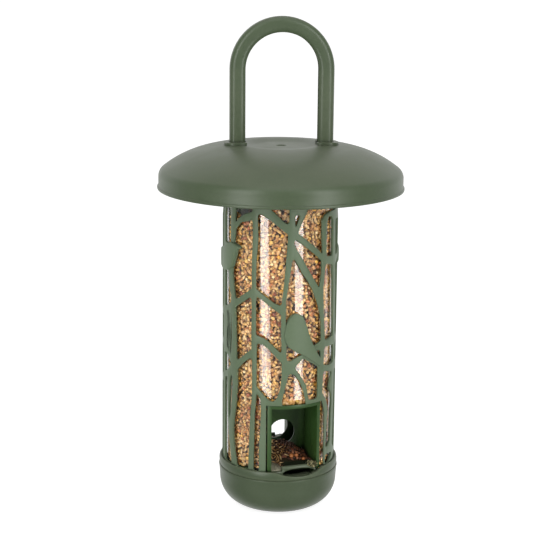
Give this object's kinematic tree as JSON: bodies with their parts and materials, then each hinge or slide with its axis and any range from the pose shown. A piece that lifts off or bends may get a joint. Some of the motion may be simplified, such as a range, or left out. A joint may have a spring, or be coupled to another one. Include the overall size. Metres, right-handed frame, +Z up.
{
  "type": "hanging bird feeder",
  "caption": "Tube feeder for seed: clear tube in a trellis of branches and birds, open feeding bays, twist-off base bowl, wide domed lid that slides up the carrying handle.",
  "frame": {"origin": "centre of the flat foot under the base bowl", "axes": "+Z up along the tube's axis, -Y out of the front feeding bay, +X to the right seen from the front"},
  "size_m": [0.2, 0.2, 0.4053],
  "materials": {
    "green_base": "satin dark green",
    "green_inner": "satin deep green",
    "green_trellis": "satin green",
    "green_lid": "satin dark green",
    "clear_tube": "clear, glossy",
    "steel": "plain"
  },
  "bodies": {
    "feeder": {"base_ring": "green_base", "floor_tray": "green_inner", "tray_screws": "steel", "front_bay": "green_inner", "rear_bay": "green_inner", "seed_baffle": "green_inner", "seed_tube": "clear_tube", "front_trellis": "green_trellis", "rear_trellis": "green_trellis", "top_ring": "green_lid", "handle": "green_lid", "left_pin": "steel", "right_pin": "steel"},
    "bowl": {"base_bowl": "green_base"},
    "lid": {"lid": "green_lid"}
  },
  "joints": [
    {"name": "bowl_twist", "type": "hinge", "parent": "feeder", "child": "bowl", "pos_m": [0, 0, 0], "axis": [0, 0, 1], "range_deg": [0, 30]},
    {"name": "lid_lift", "type": "slide", "parent": "feeder", "child": "lid", "axis": [0, 0, 1], "range_m": [0, 0.055]}
  ]
}
